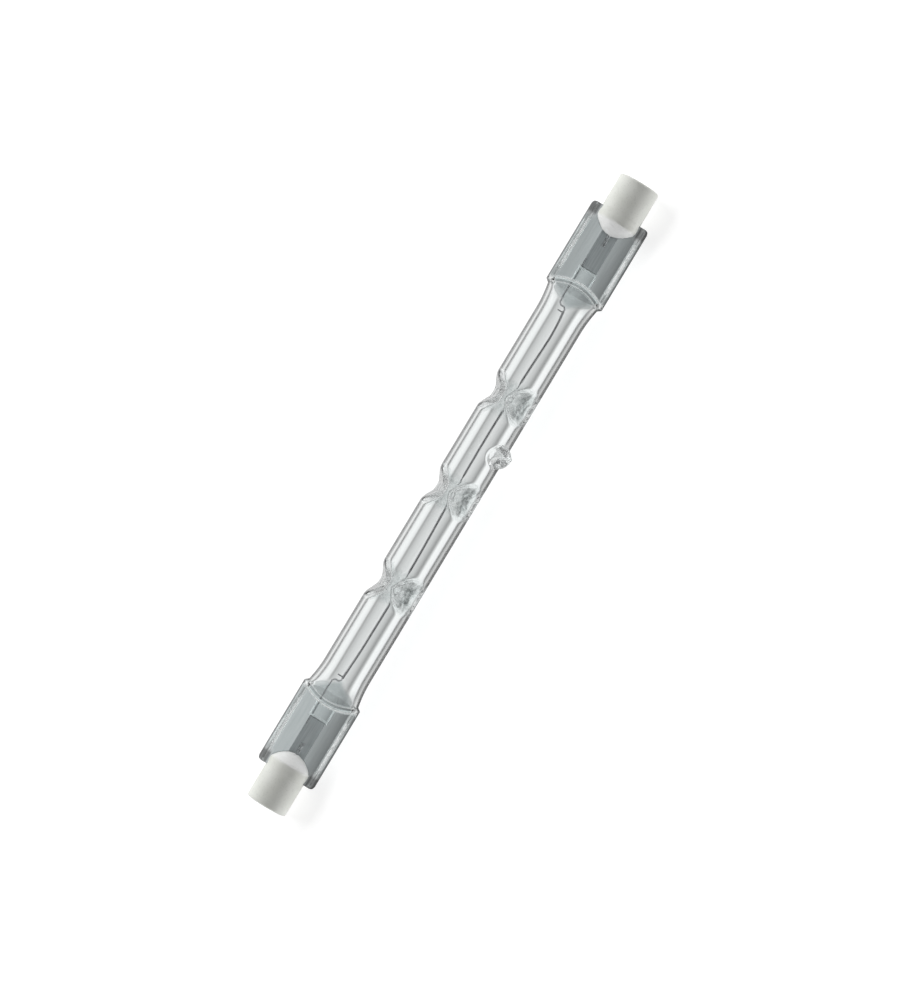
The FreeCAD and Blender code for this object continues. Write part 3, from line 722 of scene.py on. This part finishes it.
def cement_material():
    """White cement, a little translucent, going over into the cap's tone where it is wiped flush with it."""
    made, n = material("cement_white")
    place, spot = n.places()
    grit = n.noise(place, 2600.0, 5.0)
    cloud = n.noise(place, 500.0, 3.0)
    far = n.math("ABSOLUTE", n.add("SeparateXYZ", (spot, "Vector")).outputs["X"])
    wiped = n.span(far, 50.9, 51.4)
    tone = n.mix(wiped, mottled(n, cloud, CEMENT_TONES), mottled(n, cloud, CAP_TONES))
    tone = n.mix(1, tone, n.ramp(grit, (0.3, 0.94), (0.45, 1.0)), "MULTIPLY")
    milky = n.ramp(wiped, (0.0, 0.3), (1.0, 0.0))
    bump = n.add("Bump", (grit, "Height"), Strength=0.35, Distance=0.00004)
    shader = n.add("BsdfPrincipled", (tone, "Base Color"), (milky, "Subsurface Weight"), (bump, "Normal"))
    shader.inputs["Subsurface Radius"].default_value = (1.0, 1.0, 1.0)
    shader.inputs["Subsurface Scale"].default_value = 0.0008
    shader.inputs["Roughness"].default_value = 0.75
    n.add("OutputMaterial", (shader, "Surface"))
    return made


def dress(names, *made):
    """Gives pieces their materials."""
    for name in names:
        slots = bpy.data.objects[name].data.materials
        if len(slots):
            slots.clear()  # would also reset the slot numbers of an undressed piece
        for one in made:
            slots.append(one)


def dress_bulb():
    """Every piece of the bulb in its material."""
    def both(name):
        return [f"{name}_{end}" for _, end in ENDS]

    tungsten = metal_material("tungsten_wire", (0.10, 0.10, 0.105), (0.27, 0.27, 0.28), 0.42, 9000, 6)
    lead = metal_material("lead_wire", (0.34, 0.34, 0.35), (0.66, 0.66, 0.67), 0.28, 9000, 8)
    foil = metal_material("molybdenum_sheet", (0.62, 0.64, 0.65), (0.84, 0.85, 0.86), 0.38, 6000, 30)
    outer_lead = metal_material("outer_wire", (0.10, 0.10, 0.105), (0.92, 0.92, 0.93), 0.24, 9000, 4)
    contact = metal_material("contact_nickel", (0.45, 0.45, 0.43), (0.66, 0.66, 0.63), 0.3, 5000, 1)
    dress(["quartz_bulb"], quartz_material("quartz_clear", OUTER_RIM_SHADE, bore=False),
          quartz_material("quartz_bore", BORE_RIM_SHADE, bore=True))
    dress(["filament_coil"], tungsten)
    dress(both("inner_lead"), lead)
    dress(both("foil"), foil)
    dress(both("outer_lead"), outer_lead)
    dress(both("ceramic_cap"), cap_material())
    dress(both("cement_bead"), cement_material())
    dress(both("contact"), contact)


# The stage. The floor's shade is given by how far back a place lies, in millimetres, and its level.
SHADE_FROM, SHADE_TO = -20, 60
TUBE_SHADE = ((-9, 0.9), (-4.9, 0.55), (-4.2, 0.5), (-3.5, 0.7), (-2.9, 0.5), (-2.3, 0.48), (-1.9, 0.97),
              (-0.3, 1.0), (0.15, 0.6), (0.5, 0.21), (0.8, 0.34), (1.4, 0.57), (3.1, 0.84), (4.75, 0.67),
              (5.7, 0.5), (6.1, 0.27), (6.8, 0.88), (9, 1.0), (15, 1.0), (17.5, 0.85), (19.5, 0.5),
              (23, 0.95), (40, 0.85), (58, 0.75))
SEAL_SHADE = ((-12, 0.95), (-2.9, 0.9), (-2.3, 0.3), (-1.9, 0.29), (0.9, 0.55), (2.6, 0.72), (3.6, 0.8),
              (8.2, 0.84), (9, 0.95), (14, 0.95), (58, 0.6))
MIRROR_SHADE = ((-10, 0.95), (-8, 0.4), (-6, 0.22), (-2, 0.22), (3, 0.5), (8, 0.95), (20, 0.9), (40, 0.5))
GLOW_SHADE = ((-12.5, 1.0), (12.5, 0.22))


def floor_material():
    """A white floor. Seen through the glass it has the bulb's own soft shade on it."""
    made, n = material("floor_white")
    _, spot = n.places()
    axis = n.add("SeparateXYZ", (spot, "Vector"))
    x, y = axis.outputs["X"], axis.outputs["Y"]
    across = n.span(y, SHADE_FROM, SHADE_TO)

    def shade(stops):
        deep = SHADE_TO - SHADE_FROM
        return n.ramp(across, *(((back - SHADE_FROM) / deep, level) for back, level in stops))

    seen = n.add("AddShader", (n.add("Emission", Strength=0.8), 0),
                 (n.add("BsdfDiffuse", Color=(0.35, 0.35, 0.35, 1)), 1))
    dusk = n.times(n.span(x, 36, 40), n.span(y, 4, 7))
    seal = n.mix(1, shade(SEAL_SHADE), n.ramp(dusk, (0.0, 1.0), (1.0, 0.78)), "MULTIPLY")
    under_seal = n.span(n.math("ABSOLUTE", x), 35.5, 39)
    through = n.add("Emission", (n.mix(under_seal, shade(TUBE_SHADE), seal), "Color"), Strength=1.0)
    mirrored = n.add("Emission", (shade(MIRROR_SHADE), "Color"), Strength=1.0)
    glow = n.add("Emission", (shade(GLOW_SHADE), "Color"), Strength=1.8)
    path = n.add("LightPath")
    other = n.choose(path.outputs["Is Glossy Ray"], glow, mirrored)
    other = n.choose(path.outputs["Is Transmission Ray"], other, through)
    last = n.choose(path.outputs["Is Camera Ray"], other, seen)
    n.add("OutputMaterial", (last, "Surface"))
    return made


def make_floor():
    """A wide floor under the bulb."""
    bpy.ops.mesh.primitive_plane_add(size=4, location=(0, 0, FLOOR_Z * MM))
    floor = bpy.context.object
    floor.name = "stage_floor"
    floor.data.materials.append(floor_material())


def make_world():
    """White to the camera, pale walls to glass and metal, and a dim tent with bright ends to all else."""
    world = bpy.data.worlds.new("studio")
    bpy.context.scene.world = world
    n = Nodes(world)
    way = n.add("TexCoord").outputs["Generated"]
    toward = n.dot(way, FRONT)
    side = n.add("SeparateXYZ", (way, "Vector"))
    along = n.math("ABSOLUTE", side.outputs["X"])
    ends = n.times(n.ramp(along, (0.7, 0.0), (0.95, 1.0)), n.ramp(toward, (0.1, 1.0), (0.5, 0.2)), 1.8)
    tent = n.mix(1, n.ramp(toward, (0.1, 0.5), (0.62, 0.0)), ends, "ADD")
    dim = n.ramp(side.outputs["Y"], (0.7, 1.0), (0.95, 0.6))
    walls = n.mix(1, n.ramp(toward, (0.3, 1.0), (0.85, 0.5)), dim, "MULTIPLY")
    around = n.add("Background", (tent, "Color"), Strength=1.0)
    glassy = n.add("Background", (walls, "Color"), Strength=1.0)
    white = n.add("Background", Color=(1, 1, 1, 1), Strength=1.0)
    path = n.add("LightPath")
    shiny = n.most(path.outputs["Is Glossy Ray"], path.outputs["Is Transmission Ray"])
    last = n.choose(path.outputs["Is Camera Ray"], n.choose(shiny, around, glassy), white)
    n.add("OutputWorld", (last, "Surface"))


def make_key():
    """One wide soft lamp, low over the seals' faces. Reflections and rays through the glass don't show it."""
    distance, height, along = 0.6, math.radians(14), 0.05
    key = bpy.data.lights.new("key", "AREA")
    key.shape = "RECTANGLE"
    key.size, key.size_y = 0.6, 0.3
    key.energy = 3.6
    lamp = bpy.data.objects.new("key", key)
    level = Vector((along, ACROSS[1], ACROSS[2]))
    lamp.location = (level * math.cos(height) + Vector(FRONT) * math.sin(height)) * distance
    lamp.rotation_mode = "QUATERNION"
    lamp.rotation_quaternion = (-lamp.location).to_track_quat("-Z", "Y")
    lamp.visible_camera = lamp.visible_glossy = lamp.visible_transmission = False
    bpy.context.scene.collection.objects.link(lamp)


def make_camera():
    """A long lens square to the seals' flat faces, with the bulb slantwise in the picture."""
    distance, slant, sensor = 600.0, math.radians(58.93), 36
    photo_wide, photo_tall, pixels_per_mm = 899, 1000, 6.166
    bulb_middle_x, bulb_middle_y = 453.1, 494.9
    pixel = 1 / pixels_per_mm
    along, across, back = Vector((1, 0, 0)), Vector(ACROSS), Vector(FRONT)
    right = along * math.cos(slant) - across * math.sin(slant)
    up = along * math.sin(slant) + across * math.cos(slant)
    shift_right = (bulb_middle_x - photo_wide / 2) * pixel
    shift_up = (photo_tall / 2 - bulb_middle_y) * pixel
    camera = bpy.data.cameras.new("camera")
    camera.sensor_width = sensor
    camera.lens = sensor * distance / (photo_tall * pixel)
    camera.clip_start, camera.clip_end = 0.01, 20
    viewer = bpy.data.objects.new("camera", camera)
    place = back * distance - right * shift_right - up * shift_up
    turn = Matrix((right, up, back)).transposed().to_4x4()
    viewer.matrix_world = Matrix.Translation(place * MM) @ turn
    bpy.context.scene.collection.objects.link(viewer)
    bpy.context.scene.camera = viewer


make_envelope()
make_coil()
for side, end in ENDS:
    make_cement(side, end, seed=11 + side)
dress_bulb()
make_floor()
make_world()
make_key()
make_camera()

scene = bpy.context.scene
scene.view_settings.view_transform = "Standard"
scene.cycles.max_bounces = 24
scene.cycles.transmission_bounces = 24
scene.cycles.transparent_max_bounces = 24
scene.cycles.glossy_bounces = 12
